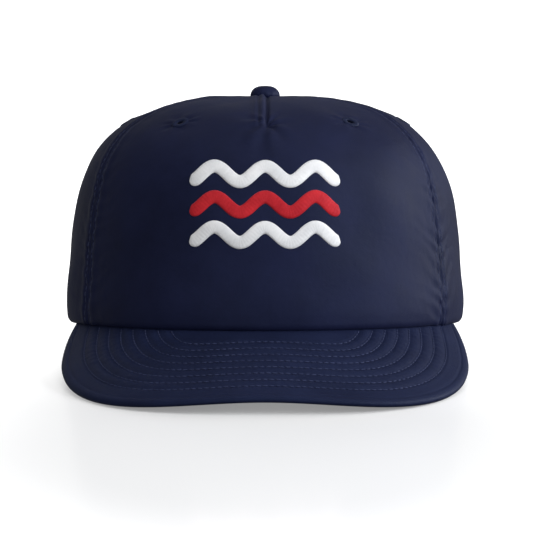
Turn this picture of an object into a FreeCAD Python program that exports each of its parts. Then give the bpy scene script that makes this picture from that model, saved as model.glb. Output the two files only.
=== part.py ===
import FreeCAD, Part
import math
import os

import Sketcher
from FreeCAD import Placement, Rotation, Vector

# A soft five-panel cap with an arched peak and a plastic snap strap at the back.
#
# Everything is modelled in the band frame, in millimetres: the crown's lower edge lies in the
# plane Z = 0, the wearer looks along -Y, the wearer's left is +X, and the top button is on the
# Z axis. The last step tips every sub-part by one placement, so that the cap stands on a table
# on the two front corners of its peak and the two back corners of its crown.

DIMS = {
    # crown shell
    "crown_height": 109.5,
    "bulge_half_width": 97.9,
    "bulge_half_length": 101.0,
    "side_taper": 0.096,
    "side_height_power": 5.46,
    "side_round_power": 2.52,
    "front_taper": 0.14,
    "front_height_power": 4.6,
    "front_round_power": 2.4,
    "back_taper": 0.12,
    "back_height_power": 3.6,
    "back_round_power": 2.2,
    "hem_tuck": 0.030,
    "hem_tuck_fade": 0.030,
    "panel_thickness": 1.2,
    "front_seam_angle": 61.0,
    "front_seam_bow": 6.0,
    "side_seam_angle": 120.5,
    # inside trim
    "tape_width": 12.0,
    "tape_thickness": 0.6,
    "tape_gap": 0.05,
    "sweatband_height": 34.0,
    "sweatband_thickness": 1.6,
    "label_width": 34.0,
    "label_height": 16.0,
    "label_thickness": 0.5,
    # back opening
    "opening_half_width": 46.0,
    "opening_straight": 20.0,
    "opening_arch": 28.0,
    "binding_width": 6.0,
    "binding_edge": 1.2,
    "binding_flap": 0.5,
    # peak
    "peak_slope": 23.5,
    "peak_reach": 60.5,
    "peak_half_width": 95.0,
    "peak_widest": -23.0,
    "peak_front_power": 2.15,
    "peak_side_power": 2.95,
    "peak_flatten": -0.12,
    "peak_corner_angle": 74.0,
    "peak_thickness": 3.0,
    "peak_cover": 0.6,
    "peak_rim": 1.5,
    "peak_seat_gap": 0.1,
    "row_count": 8,
    "row_pitch": 5.7,
    "row_edge": 10.5,
    "thread_width": 0.6,
    "thread_height": 0.25,
    "thread_lift": 0.15,
    "seam_row_offset": 3.2,
    # snap strap
    "strap_height": 18.0,
    "strap_thickness": 1.3,
    "strap_gap": 0.3,
    "strap_lift": 2.3,
    "strap_span": 45.0,
    "strap_root_angle": 28.4,
    "strap_corner": 6.0,
    "strap_root_round": 0.6,
    "tab_length": 15.0,
    "snap_count": 7,
    "snap_pitch": 6.05,
    "snap_end": 4.5,
    "snap_radius": 1.75,
    "snap_height": 2.3,
    "snap_hole_radius": 2.0,
    # top button and eyelets
    "button_radius": 7.1,
    "button_height": 5.6,
    "button_rim": 2.0,
    "button_skin": 0.5,
    "button_metal": 0.6,
    "prong_radius": 1.5,
    "prong_hole": 1.6,
    "backing_radius": 6.5,
    "backing_thickness": 0.8,
    "eyelet_radius": 4.2,
    "eyelet_hole": 1.5,
    "eyelet_thickness": 2.4,
    "eyelet_level": 0.885,
    "eyelet_front_angle": 37.0,
    "eyelet_side_angle": 91.0,
    "eyelet_back_angle": 148.0,
    # front emblem
    "emblem_width": 70.0,
    "emblem_stroke": 3.0,
    "emblem_wave": 3.5,
    "emblem_pitch": 14.0,
    "emblem_centre": 58.0,
    "emblem_thickness": 0.4,
    # stance
    "stance_tilt": 7.76,
}

FAR = 200.0
doc = FreeCAD.newDocument("soft_cap")
sheet = doc.addObject("Spreadsheet::Sheet", "dims")
for row, (alias, number) in enumerate(DIMS.items(), start=1):
    sheet.set(f"A{row}", alias)
    sheet.set(f"B{row}", str(number))
    sheet.setAlias(f"B{row}", alias)
doc.recompute()


def dim(alias):
    """A driving dimension, read back from the spreadsheet."""
    return float(sheet.get(alias))


def value(expression):
    """What an expression over the spreadsheet comes to, as a plain number."""
    result = sheet.evalExpression(expression)
    return float(getattr(result, "Value", result))


# ---------------------------------------------------------------- helpers for document objects


def feature(name, shape):
    """A Part::Feature with a shape that Part's own functions made."""
    made = doc.addObject("Part::Feature", name)
    made.Shape = shape
    return made


def boolean(kind, name, base, tool):
    made = doc.addObject(kind, name)
    made.Base = base
    made.Tool = tool
    return made


def cut(name, base, tool):
    return boolean("Part::Cut", name, base, tool)


def common(name, base, tool):
    return boolean("Part::Common", name, base, tool)


def fuse(name, shapes):
    made = doc.addObject("Part::MultiFuse", name)
    made.Shapes = shapes
    return made


def cylinder(name, radius, height, place):
    """A Part::Cylinder whose radius and height are expressions over the sheet."""
    made = doc.addObject("Part::Cylinder", name)
    made.setExpression("Radius", radius)
    made.setExpression("Height", height)
    made.Placement = place
    return made


def block(name, low, high):
    """A Part::Box between two corners."""
    made = doc.addObject("Part::Box", name)
    size = Vector(*high) - Vector(*low)
    made.Length, made.Width, made.Height = size.x, size.y, size.z
    made.Placement = Placement(Vector(*low), Rotation())
    return made


def origin_plane(body, role):
    return next(o for o in body.Origin.OriginFeatures if o.Role == role)


def profile_sketch(body, name, corners, arcs=None):
    """A closed profile on the body's XZ plane. Each corner is two expressions, and the lines'
    ends are bound to them. arcs maps an edge's number to the expression of its radius: an arc
    bulges upwards and away from the axis."""
    arcs = arcs or {}
    sketch = body.newObject("Sketcher::SketchObject", name)
    sketch.AttachmentSupport = [(origin_plane(body, "XZ_Plane"), "")]
    sketch.MapMode = "FlatFace"
    points = [Vector(value(x), value(z), 0) for x, z in corners]
    for i, start in enumerate(points):
        end = points[(i + 1) % len(points)]
        if i in arcs:
            radius = value(arcs[i])
            chord = end - start
            normal = Vector(abs(chord.y), abs(chord.x), 0).normalize()
            reach = math.sqrt(radius**2 - (chord.Length / 2) ** 2)
            centre = (start + end) / 2 - normal * reach
            middle = centre + normal * radius
            if (middle - start).cross(end - middle).z < 0:
                start, end = end, start
            sketch.addGeometry(Part.Arc(start, middle, end), False)
        else:
            sketch.addGeometry(Part.LineSegment(start, end), False)
    for i, (x, z) in enumerate(corners):
        # An arc is drawn counter-clockwise, so its drawn start may be its end point.
        geometry = sketch.Geometry[i]
        first = 1 if geometry.StartPoint.distanceToPoint(points[i]) < 1e-6 else 2
        for kind, expression in (("DistanceX", x), ("DistanceY", z)):
            number = value(expression)
            index = sketch.addConstraint(Sketcher.Constraint(kind, -1, 1, i, first, number))
            sketch.setExpression(f"Constraints[{index}]", expression)
    for i in range(len(points)):
        here, after = sketch.Geometry[i], sketch.Geometry[(i + 1) % len(points)]
        joint = points[(i + 1) % len(points)]
        ends = [1 if g.StartPoint.distanceToPoint(joint) < 1e-6 else 2 for g in (here, after)]
        following = (i + 1) % len(points)
        sketch.addConstraint(Sketcher.Constraint("Coincident", i, ends[0], following, ends[1]))
    for i, radius in arcs.items():
        index = sketch.addConstraint(Sketcher.Constraint("Radius", i, value(radius)))
        sketch.setExpression(f"Constraints[{index}]", radius)
    return sketch


def turned(name, corners, arcs=None, angle=None, towards=1):
    """A PartDesign body: a profile revolved about the body's Z axis. A part turn sweeps towards
    +Y, or towards -Y when towards is negative."""
    body = doc.addObject("PartDesign::Body", name)
    sketch = profile_sketch(body, name + "_profile", corners, arcs)
    turn = body.newObject("PartDesign::Revolution", name + "_turn")
    turn.Profile = sketch
    turn.ReferenceAxis = (sketch, ["V_Axis"])
    turn.Angle = 360
    if angle:
        turn.setExpression("Angle", angle)
    sketch.Visibility = False
    doc.recompute()
    if angle and body.Shape.CenterOfMass.y * towards < 0:
        turn.Reversed = not turn.Reversed
        doc.recompute()
    return body


# ---------------------------------------------------------------- the crown's surface


def bell(share, height_power, round_power):
    """How wide a superellipse is, as a share of its foot, at a share of its height."""
    return (1 - share**height_power) ** (1 / round_power)


def crown_section(share, inset=0.0):
    """(half width, half length, Y of the centre) of the crown's oval at a share of its height,
    measured inset millimetres inside the outer face."""
    tuck = 1 - dim("hem_tuck") * math.exp(-share / dim("hem_tuck_fade"))

    def reach(alias, foot):
        shape = bell(share, dim(f"{alias}_height_power"), dim(f"{alias}_round_power"))
        return foot * tuck * shape * (1 - dim(f"{alias}_taper") * share)

    side = reach("side", dim("bulge_half_width"))
    front = reach("front", dim("bulge_half_length"))
    back = reach("back", dim("bulge_half_length"))
    return side - inset, (front + back) / 2 - inset, (back - front) / 2


def crown_point(angle, share, inset=0.0):
    """A point of the crown, at an angle in degrees from the front towards the wearer's left."""
    side, length, centre = crown_section(share, inset)
    turn = math.radians(angle)
    height = share * (dim("crown_height") - inset)
    return Vector(side * math.sin(turn), centre - length * math.cos(turn), height)


def crown_normal(angle, share):
    along = crown_point(angle + 0.5, share) - crown_point(angle - 0.5, share)
    up = crown_point(angle, share + 0.002) - crown_point(angle, share - 0.002)
    return along.cross(up).normalize()


LEVELS = (0, 0.02, 0.05, 0.1, 0.2, 0.35, 0.5, 0.64, 0.76, 0.86, 0.93, 0.97, 0.99, 0.998, 0.9997)


def oval(share, inset, height):
    """The crown's horizontal oval, as a closed spline through evenly turned points."""
    side, length, centre = crown_section(share, inset)
    count = 24
    start = math.radians(-83)
    turns = [start + 2 * math.pi * i / count for i in range(count)]
    points = [Vector(side * math.sin(t), centre - length * math.cos(t), height) for t in turns]
    curve = Part.BSplineCurve()
    curve.interpolate(Points=points, Parameters=list(range(count + 1)), PeriodicFlag=True)
    return Part.Wire(curve.toShape())


def dome_side(inset):
    """The crown's surface moved in by inset: its faces, its foot and its small flat top."""
    top = dim("crown_height") - inset
    deep = inset + 3
    levels = [share for share in LEVELS if share < 0.99 or crown_section(share)[1] > deep]
    levels = [share for share in levels if min(crown_section(share)[:2]) > deep]
    wires = [oval(share, inset, share * top) for share in levels]
    return Part.makeLoft(wires, False, False).Faces, wires[0], wires[-1]


def layer(name, outside, inside):
    """The thin shell between two depths under the crown's outer face."""
    outer, outer_foot, outer_top = dome_side(outside)
    inner, inner_foot, inner_top = dome_side(inside)
    flat = [Part.Face([outer_foot, inner_foot]), Part.Face(outer_top), Part.Face(inner_top)]
    skin = Part.Shell([*outer, *inner, *flat])
    skin.sewShape()
    solid = Part.Solid(skin)
    solid.fix(1e-4, 1e-4, 1e-4)
    if solid.Volume < 0:
        solid.reverse()
    return feature(name, solid)


def base_prism(name, inset, low, high):
    """An upright prism on the crown's lower edge, between two heights."""
    ring = oval(0, inset, low)
    return feature(name, Part.Face(ring).extrude(Vector(0, 0, high - low)))


panel = dim("panel_thickness")
flap = dim("binding_flap")
tape_in = panel + dim("tape_thickness")
hole_strap_out = tape_in
hole_strap_in = hole_strap_out + dim("strap_thickness")
stud_strap_out = hole_strap_in + dim("strap_gap")
stud_strap_in = stud_strap_out + dim("strap_thickness")
band_out = stud_strap_in + 0.2
band_in = band_out + dim("sweatband_thickness")

# ---------------------------------------------------------------- seams, seen from above


def seam_arc(angle, bow, grow=1.18):
    """The plan of a seam, from the top button out past the crown's edge: a line, or an arc that
    bows towards the back. grow is how far it runs on."""
    foot = crown_point(angle, 0)
    foot.z = 0
    chord = foot.Length
    along = foot / chord
    across = Vector(-along.y, along.x, 0)
    if along.x < 0:
        across = -across
    if not bow:
        return Part.LineSegment(Vector(), foot * grow)
    radius = (chord**2 / 4 + bow**2) / (2 * bow)
    centre = foot / 2 - across * (radius - bow)
    half = math.asin(chord / 2 / radius)

    def at(turn):
        return centre + (across * math.cos(turn) + along * math.sin(turn)) * radius

    last = half * (2 * grow - 1)
    return Part.Arc(at(-half), at((last - half) / 2), at(last))


def seams():
    """{name: (angle, bow)} of the five seams, the wearer's left first."""
    front, side = dim("front_seam_angle"), dim("side_seam_angle")
    return {
        "front_left": (front, dim("front_seam_bow")),
        "front_right": (-front, dim("front_seam_bow")),
        "side_left": (side, 0),
        "side_right": (-side, 0),
        "back_center": (180, 0),
    }


def plan_prism(name, edges):
    """An upright prism on a closed plan outline."""
    wire = Part.Wire(Part.__sortEdges__([edge.toShape() for edge in edges]))
    face = Part.Face(wire)
    face.translate(Vector(0, 0, -FAR / 2))
    return feature(name, face.extrude(Vector(0, 0, 2 * FAR)))


def wedge(name, first, second, corners):
    """The plan between two seams, closed outside the crown through far corners."""
    a, b = seam_arc(*first), seam_arc(*second)
    outside = [a.EndPoint, *[Vector(x, y, 0) for x, y in corners], b.EndPoint]
    sides = [Part.LineSegment(p, q) for p, q in zip(outside, outside[1:])]
    return plan_prism(name, [a, *sides, b])


# ---------------------------------------------------------------- eyelets, top hole and opening


def eyelet_place(angle, sink):
    """Where an eyelet's axis starts, sink millimetres inside the crown's face."""
    normal = crown_normal(angle, dim("eyelet_level"))
    point = crown_point(angle, dim("eyelet_level")) - normal * sink
    return Placement(point, Rotation(Vector(0, 0, 1), normal))


def eyelet_angles():
    found = {}
    for row in ("front", "side", "back"):
        found[f"{row}_left"] = dim(f"eyelet_{row}_angle")
        found[f"{row}_right"] = -dim(f"eyelet_{row}_angle")
    return found


EYELET_SINK = 1.8
parts = {}
plugs = []
for side, angle in eyelet_angles().items():
    place = eyelet_place(angle, EYELET_SINK + 3)
    plugs.append(cylinder(f"eyelet_plug_{side}", "dims.eyelet_radius", "12 mm", place))
    place = eyelet_place(angle, EYELET_SINK)
    outer = cylinder(f"eyelet_disc_{side}", "dims.eyelet_radius", "dims.eyelet_thickness", place)
    hole = cylinder(f"eyelet_vent_{side}", "dims.eyelet_hole", "dims.eyelet_thickness", place)
    parts[f"eyelet_{side}"] = cut(f"eyelet_ring_{side}", outer, hole)

top_hole = cylinder("top_hole", "dims.prong_hole", "40 mm", Placement(Vector(0, 0, 90), Rotation()))


def opening_outline(grow):
    """The back opening's outline, straight sides under a half-oval arch, in the plane Y = 20."""
    half = dim("opening_half_width") + grow
    straight = dim("opening_straight")
    rise = dim("opening_arch") + grow
    arch = Part.ArcOfEllipse(Part.Ellipse(Vector(), half, rise), 0, math.pi)
    foot = -straight - 20 - grow
    corners = [Vector(half, 0, 0), Vector(half, foot, 0), Vector(-half, foot, 0), Vector(-half, 0, 0)]
    sides = [Part.LineSegment(p, q) for p, q in zip(corners, corners[1:])]
    wire = Part.Wire(Part.__sortEdges__([e.toShape() for e in (arch, *sides)]))
    wire.Placement = Placement(Vector(0, 20, straight), Rotation(Vector(1, 0, 0), 90))
    return wire


def opening_prism(name, grow):
    """The back opening's outline, run out to the back."""
    return feature(name, Part.Face(opening_outline(grow)).extrude(Vector(0, FAR, 0)))


opening = opening_prism("opening_space", 0)
opening_wide = opening_prism("opening_binding_outside", dim("binding_width"))

# ---------------------------------------------------------------- the five panels

shell = layer("crown_shell", 0, panel)
openings = fuse("crown_openings", [*plugs, top_hole, opening])
shell = cut("crown_shell_pierced", shell, openings)
named = seams()
corner = FAR * 0.8
wedges = {
    "front_panel": (named["front_right"], named["front_left"], [(-corner, -corner), (corner, -corner)]),
    "side_panel_left": (named["front_left"], named["side_left"], [(corner, 0)]),
    "side_panel_right": (named["front_right"], named["side_right"], [(-corner, 0)]),
    "back_panel_left": (named["side_left"], named["back_center"], [(corner, corner)]),
    "back_panel_right": (named["side_right"], named["back_center"], [(-corner, corner)]),
}
for name, (first, second, far) in wedges.items():
    parts[name] = common(name + "_cut", shell, wedge(name + "_plan", first, second, far))

# ---------------------------------------------------------------- seam tapes and binding



def seam_point(angle, bow, share, sideways, inset):
    """A point beside a seam, at a share of the crown's height."""
    chord = crown_point(angle, 0)
    chord = math.hypot(chord.x, chord.y)
    turn = angle
    for _ in range(5):
        point = crown_point(turn, share, inset)
        out = math.hypot(point.x, point.y)
        sag = 0.0
        if bow:
            radius = (chord**2 / 4 + bow**2) / (2 * bow)
            sag = math.sqrt(radius**2 - (out - chord / 2) ** 2) - (radius - bow)
        turn = angle + math.degrees(math.atan2(math.copysign(sag, angle) + sideways, out))
    return crown_point(turn, share, inset)


def ribbon(rails):
    """A thin closed strip between four rails of points, taken in order round its section."""
    curves = []
    for points in rails:
        curve = Part.BSplineCurve()
        curve.interpolate(points)
        curves.append(curve.toShape())
    faces = [Part.makeRuledSurface(curves[i], curves[(i + 1) % 4]) for i in range(4)]
    for end in (0, -1):
        ring = [points[end] for points in rails]
        edges = [Part.LineSegment(ring[i], ring[(i + 1) % 4]).toShape() for i in range(4)]
        faces.append(Part.makeRuledSurface(edges[0], edges[2]))
    skin = Part.Shell(faces)
    skin.sewShape()
    solid = Part.Solid(skin)
    solid.fix(1e-3, 1e-3, 1e-3)
    if solid.Volume < 0:
        solid.reverse()
    return solid


SEAM_LEVELS = (0.02, 0.08, 0.2, 0.35, 0.505, 0.6, 0.7, 0.8, 0.88, 0.94, 0.975, 0.992)


def seam_strip(angle, bow, sideways, half_width, depths, low, high):
    """A strip along a seam between two depths under the crown's face, from one level to another."""
    shares = [share for share in SEAM_LEVELS if low <= share] + [high]
    outside, inside = depths
    rails = []
    for side, inset in ((-1, inside), (1, inside), (1, outside), (-1, outside)):
        across = sideways + side * half_width
        rails.append([seam_point(angle, bow, share, across, inset) for share in shares])
    return ribbon(rails)


def lowest(name):
    """Where a seam ends: above the arched opening at the back, and at the band elsewhere."""
    return 0.505 if name == "back_center" else 0


for name, (angle, bow) in named.items():
    depths = (panel + dim("tape_gap"), tape_in)
    tape = seam_strip(angle, bow, 0, dim("tape_width") / 2, depths, lowest(name), 0.998)
    parts[f"seam_tape_{name}"] = feature(f"tape_{name}", tape)

opening_narrow = opening_prism("opening_binding_inside", -dim("binding_edge"))
ring_outside = cut("binding_ring", opening_wide, opening)
ring_edge = cut("binding_edge_ring", opening, opening_narrow)
flap_out = common("binding_outer_flap", layer("binding_outer_layer", -flap, 0), ring_outside)
flap_in = common("binding_inner_flap", layer("binding_inner_layer", panel, panel + flap), ring_outside)
edge = common("binding_edge_strip", layer("binding_edge_layer", -flap, panel + flap), ring_edge)
parts["opening_binding"] = fuse("binding_folded", [flap_out, edge, flap_in])

# ---------------------------------------------------------------- sweatband and label

band_layer = layer("sweatband_layer", band_out, band_in)
band_zone = block("sweatband_zone", (-FAR, -FAR, 0), (FAR, FAR, dim("sweatband_height")))
band_ring = common("sweatband_ring", band_layer, band_zone)
band_half_gap = dim("opening_half_width") + 2
band_gap = block("sweatband_gap", (-band_half_gap, 0, -5), (band_half_gap, FAR, FAR))
parts["sweatband"] = cut("sweatband_strip", band_ring, band_gap)

label_half = dim("label_width") / 2
label_low = (dim("sweatband_height") - dim("label_height")) / 2
label_zone = block(
    "label_zone", (0, -label_half, label_low), (FAR, label_half, label_low + dim("label_height"))
)
label_out = band_in + 0.1
label_layer = layer("label_layer", label_out, label_out + dim("label_thickness"))
parts["care_label"] = common("label_piece", label_layer, label_zone)

# ---------------------------------------------------------------- the peak


def peak_height(x, ahead):
    """Height of the peak's upper face, ahead millimetres in front of the crown's front edge.
    It slopes down, and it arches sideways so that it meets the crown's edge all along."""
    half_width, half_length, _ = crown_section(0)
    slope = math.tan(math.radians(dim("peak_slope")))
    bend = half_width**2 / (half_length * slope) * (1 + ahead / (2 * half_length))
    bend *= 1 + dim("peak_flatten") * max(ahead, 0) / dim("peak_reach")
    return -slope * ahead - x * x / (2 * bend)


def peak_slab(name, top, bottom):
    """The peak's curved blank between two depths under its upper face."""
    _, half_length, _ = crown_section(0)
    across, along = 4, 8
    rows = []
    for j in range(along + 1):
        ahead = -85 + j * (dim("peak_reach") + 100) / along
        xs = [-110 + 220 * i / across for i in range(across + 1)]
        rows.append([Vector(x, -half_length - ahead, peak_height(x, ahead) - top) for x in xs])
    surface = Part.BSplineSurface()
    surface.interpolate(rows)
    return feature(name, surface.toShape().extrude(Vector(0, 0, top - bottom)))


def peak_outline(inset):
    """The peak's outline from above: a superellipse at the front, and sides that draw in to the
    corners. Returned as (x, ahead) pairs for the wearer's left, from the front to the corner."""
    widest, reach = dim("peak_widest"), dim("peak_reach")
    half, front, side = dim("peak_half_width"), dim("peak_front_power"), dim("peak_side_power")
    steps = 28
    points = []
    for i in range(steps + 1):
        turn = math.pi / 2 * i / steps
        x = half * math.sin(turn) ** (2 / side)
        ahead = widest + (reach - widest) * math.cos(turn) ** (2 / front)
        points.append((x, ahead))
    half_width, half_length, _ = crown_section(0)
    corner_turn = math.radians(dim("peak_corner_angle"))
    corner_x = half_width * math.sin(corner_turn)
    corner_ahead = -half_length * (1 - math.cos(corner_turn))
    for share in (0.35, 0.7, 1.0, 1.25):
        drop = (half - corner_x) * share**2
        points.append((half - drop, widest + (corner_ahead - widest) * share))
    return offset_outline(points, inset)


def offset_outline(points, inset):
    """The outline moved inwards along its own normals."""
    moved = []
    for i, (x, y) in enumerate(points):
        before, after = points[max(i - 1, 0)], points[min(i + 1, len(points) - 1)]
        dx, dy = after[0] - before[0], after[1] - before[1]
        if i == 0:
            dx, dy = 1, 0
        size = math.hypot(dx, dy)
        moved.append((x + dy / size * inset, y - dx / size * inset))
    return moved


def peak_wire(inset):
    """The peak's closed outline from above."""
    _, half_length, _ = crown_section(0)
    left = [Vector(x, -half_length - ahead, 0) for x, ahead in peak_outline(inset)]
    right = [Vector(-p.x, p.y, 0) for p in reversed(left[1:])]
    rim = Part.BSplineCurve()
    rim.interpolate(right + left)
    back = Part.LineSegment(left[-1], right[0])
    return Part.Wire([rim.toShape(), back.toShape()])


def peak_plan(name, wires):
    """An upright prism on the peak's outline, or on the band between two outlines."""
    face = Part.Face(wires)
    face.translate(Vector(0, 0, -FAR / 2))
    return feature(name, face.extrude(Vector(0, 0, FAR)))


def peak_piece(name, slab, plan):
    """A layer of the peak: its blank, cut to its outline and to the crown that it is sewn to."""
    blank = common(name + "_blank", slab, plan)
    return cut(name, cut(name + "_seated", blank, seat), well)


cover, thick = dim("peak_cover"), dim("peak_thickness")
seat = base_prism("peak_seat", 0, -dim("peak_seat_gap"), FAR)
well = base_prism("peak_well", panel, -FAR, FAR)
outline_full = peak_plan("peak_outline", peak_wire(0))
outline_board = peak_plan("peak_board_outline", peak_wire(dim("peak_rim")))
slab_top = peak_slab("peak_top_layer", 0, cover)
slab_board = peak_slab("peak_board_layer", cover, thick - cover)
slab_rest = peak_slab("peak_lower_layer", cover, thick)
parts["peak_top_cover"] = peak_piece("peak_top_piece", slab_top, outline_full)
parts["peak_board"] = peak_piece("peak_board_piece", slab_board, outline_board)
under_blank = peak_piece("peak_under_blank", slab_rest, outline_full)
board_space = common("peak_board_space", slab_board, outline_board)
parts["peak_under_cover"] = cut("peak_under_piece", under_blank, board_space)

thread_half = dim("thread_width") / 2


def stitch_row(inset):
    """One row of stitching on the peak, that follows its rim from the crown round to the crown."""
    half_width, half_length, _ = crown_section(0)
    clear = 2.0

    def off_crown(point):
        x, ahead = point
        return math.hypot(x / (half_width + clear), (half_length + ahead) / (half_length + clear)) > 1

    row = peak_outline(inset)
    kept = [i for i, point in enumerate(row) if off_crown(point)]
    rails = []
    low = dim("thread_lift")
    high = low + dim("thread_height")
    for side, lift in ((-1, low), (1, low), (1, high), (-1, high)):
        edge = peak_outline(inset + side * thread_half)
        half = []
        for i in kept:
            x, ahead = edge[i]
            half.append(Vector(x, -half_length - ahead, peak_height(x, ahead) + lift))
        rails.append([Vector(-p.x, p.y, p.z) for p in reversed(half[1:])] + half)
    return ribbon(rails)


insets = [dim("row_edge") + i * dim("row_pitch") for i in range(int(dim("row_count")))]
peak_rows = [stitch_row(inset) for inset in insets]
print("peak rows", [round(row.Volume, 1) for row in peak_rows])
parts["peak_stitching"] = feature("stitch_piece", Part.Compound(peak_rows))

# ---------------------------------------------------------------- crown topstitching

runs = []
for name, (angle, bow) in named.items():
    for side in (-1, 1):
        depths = (-dim("thread_lift") - dim("thread_height"), -dim("thread_lift"))
        shift = side * dim("seam_row_offset")
        runs.append(seam_strip(angle, bow, shift, thread_half, depths, lowest(name), 0.999))
print("seam rows", [round(run.Volume, 1) for run in runs])
parts["crown_topstitching"] = feature("crown_thread", Part.Compound(runs))

# ---------------------------------------------------------------- snap strap


def strap_centre():
    """Y of the centre that the straps are bent about: the oval's own centre of curvature there."""
    half_width, half_length, centre = crown_section(0.1)
    return centre + half_length - half_width**2 / half_length


def strap_radius(inset):
    half_width, half_length, _ = crown_section(0.1)
    return half_width**2 / half_length - inset


def edges_named(shape, wanted):
    return [f"Edge{i}" for i, e in enumerate(shape.Edges, start=1) if wanted(e)]


def strap(name, outside, inside, left):
    """A bent plastic strip, made from its sewn root to its free end, with a row of snaps."""
    low, high = "dims.strap_lift", "dims.strap_lift + dims.strap_height"
    near, far = f"{strap_radius(inside)}", f"{strap_radius(outside)}"
    corners = [(near, low), (far, low), (far, high), (near, high)]
    sign = 1 if left else -1
    body = turned(name, corners, angle="dims.strap_span", towards=sign)
    end = math.radians(dim("strap_span")) * sign

    def at_end(e):
        centre = e.CenterOfMass
        turn = math.atan2(centre.y, centre.x)
        return abs(turn - end) < 1e-3 and abs(e.Length - dim("strap_thickness")) < 1e-3

    def at_root(e):
        centre = e.CenterOfMass
        return abs(centre.y) < 1e-6 and abs(e.Length - dim("strap_height")) < 1e-3

    swept = body.Tip
    rounded = body.newObject("PartDesign::Fillet", name + "_free_end")
    rounded.Base = (swept, edges_named(swept.Shape, at_end))
    rounded.setExpression("Radius", "dims.strap_corner")
    doc.recompute()
    root = body.newObject("PartDesign::Fillet", name + "_root_round")
    root.Base = (rounded, edges_named(rounded.Shape, at_root))
    root.setExpression("Radius", "dims.strap_root_round")
    doc.recompute()
    return body, sign


def snaps(body, sign, kind, radius, start, length):
    """A row of pegs or holes, patterned about the strap's centre of bend."""
    first = dim("strap_span") - dim("snap_end") - (dim("snap_count") - 1) * dim("snap_pitch")
    turn = math.radians(first) * sign
    outward = Vector(math.cos(turn), math.sin(turn), 0)
    middle = dim("strap_lift") + dim("strap_height") / 2
    one = body.newObject(kind, body.Name + "_snap")
    one.setExpression("Radius", radius)
    one.Height = length
    one.Placement = Placement(outward * start + Vector(0, 0, middle), Rotation(Vector(0, 0, 1), outward))
    doc.recompute()
    row = body.newObject("PartDesign::PolarPattern", body.Name + "_snap_row")
    row.Originals = [one]
    row.Axis = (origin_plane(body, "Z_Axis"), [""])
    row.setExpression("Angle", "dims.snap_pitch * (dims.snap_count - 1)")
    row.setExpression("Occurrences", "dims.snap_count")
    row.Reversed = sign < 0
    body.Tip = row
    doc.recompute()
    return one


def turn_to(sign):
    """The placement that puts a strap's root at its angle from the back."""
    root = 90 - sign * dim("strap_root_angle")
    return Placement(Vector(0, strap_centre(), 0), Rotation(Vector(0, 0, 1), root))


hole_strap, left = strap("hole_strap_body", hole_strap_out, hole_strap_in, True)
plain = hole_strap.Shape.Volume
snaps(hole_strap, left, "PartDesign::SubtractiveCylinder", "dims.snap_hole_radius",
      strap_radius(hole_strap_in) - 2, 6)
if hole_strap.Shape.Volume >= plain:
    raise ValueError("the strap's holes cut nothing")
stud_strap, right = strap("stud_strap_body", stud_strap_out, stud_strap_in, False)
plain = stud_strap.Shape.Volume
peg = dim("strap_thickness") / 2
snaps(stud_strap, right, "PartDesign::AdditiveCylinder", "dims.snap_radius",
      strap_radius(stud_strap_out) - peg, dim("snap_height") + peg)
if stud_strap.Shape.Volume <= plain:
    raise ValueError("the strap's pegs added nothing")
hole_strap.Placement = turn_to(left)
stud_strap.Placement = turn_to(right)
parts["hole_strap"] = hole_strap
parts["stud_strap"] = stud_strap


def strap_tab(name, outside, inside, sign):
    """The sewn end of a strap, held between a back panel and the sweatband."""
    middle = strap_radius((outside + inside) / 2)
    root = middle * math.sin(math.radians(dim("strap_root_angle")))
    near = root + dim("strap_thickness") / 2 + dim("strap_gap")
    low, high = dim("strap_lift"), dim("strap_lift") + dim("strap_height")
    xs = sorted((sign * near, sign * (near + dim("tab_length"))))
    zone = block(name + "_zone", (xs[0], 0, low), (xs[1], FAR, high))
    return common(name + "_piece", layer(name + "_layer", outside + 0.05, inside), zone)


parts["hole_strap_tab"] = strap_tab("hole_strap_tab", hole_strap_out, hole_strap_in, left)
parts["stud_strap_tab"] = strap_tab("stud_strap_tab", stud_strap_out, stud_strap_in, right)

# ---------------------------------------------------------------- top button

skin, metal, rim = "dims.button_skin", "dims.button_metal", "dims.button_rim"
sink = f"({skin} + {metal})"


def cap_radius(radius, rise):
    """The radius of the ball that a shallow cap is part of."""
    return f"(({radius}) * ({radius}) + ({rise}) * ({rise})) / (2 * ({rise}))"


def button_cap(name, inset, wall):
    """A round cap with a domed top and a straight rim, hollow below, inset inside the outside."""
    outer = f"(dims.button_radius - {inset})"
    top = f"(dims.button_height - {inset})"
    corners = [
        ("0", f"{top} - {wall}"),
        (f"{outer} - {wall}", f"{rim} - {inset} - {wall} * 0.4"),
        (f"{outer} - {wall}", "0"),
        (outer, "0"),
        (outer, f"{rim} - {inset}"),
        ("0", top),
    ]
    inner_rise = f"({top} - {wall}) - ({rim} - {inset} - {wall} * 0.4)"
    arcs = {0: cap_radius(f"{outer} - {wall}", inner_rise), 4: cap_radius(outer, f"{top} - ({rim} - {inset})")}
    return turned(name, corners, arcs)


lift = "0.15"
button_base = Placement(Vector(0, 0, dim("crown_height") + float(lift)), Rotation())
parts["button_cover"] = button_cap("button_cover_body", "0", skin)
parts["button_shell"] = button_cap("button_shell_body", f"({skin} + 0.05)", metal)
for name in ("button_cover", "button_shell"):
    parts[name].Placement = button_base

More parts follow.
